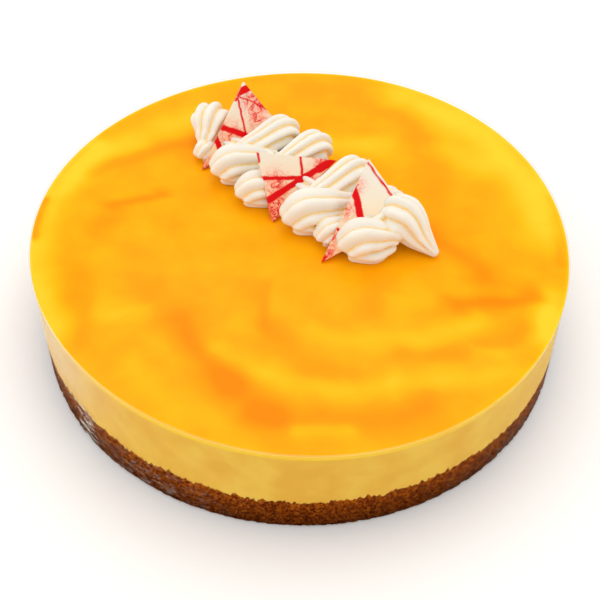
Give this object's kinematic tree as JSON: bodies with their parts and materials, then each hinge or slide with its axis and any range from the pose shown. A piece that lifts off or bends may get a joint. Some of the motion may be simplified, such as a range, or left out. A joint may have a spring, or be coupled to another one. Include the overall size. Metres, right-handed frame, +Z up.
{
  "type": "mousse cake",
  "caption": "Round mousse cake with a crumb base, jelly glaze, clear film collar, piped cream and chocolate shards.",
  "frame": {"origin": "middle of the underside of the cake, on the surface it stands on", "axes": "+Z up; the cake is seen from -Y, with the piped cream running from the left at the back to the middle"},
  "size_m": [0.2412, 0.2404, 0.0825],
  "materials": {
    "crumb": "matte",
    "mousse": "satin",
    "glaze": "gloss",
    "film": "gloss",
    "cream": "satin",
    "chocolate": "satin"
  },
  "bodies": {
    "root": {"crumb_base": "crumb", "mousse_layer": "mousse", "glaze_layer": "glaze", "acetate_collar": "film", "whipped_cream": "cream", "chocolate_shard_back": "chocolate", "chocolate_shard_middle": "chocolate", "chocolate_shard_front": "chocolate"}
  },
  "joints": []
}
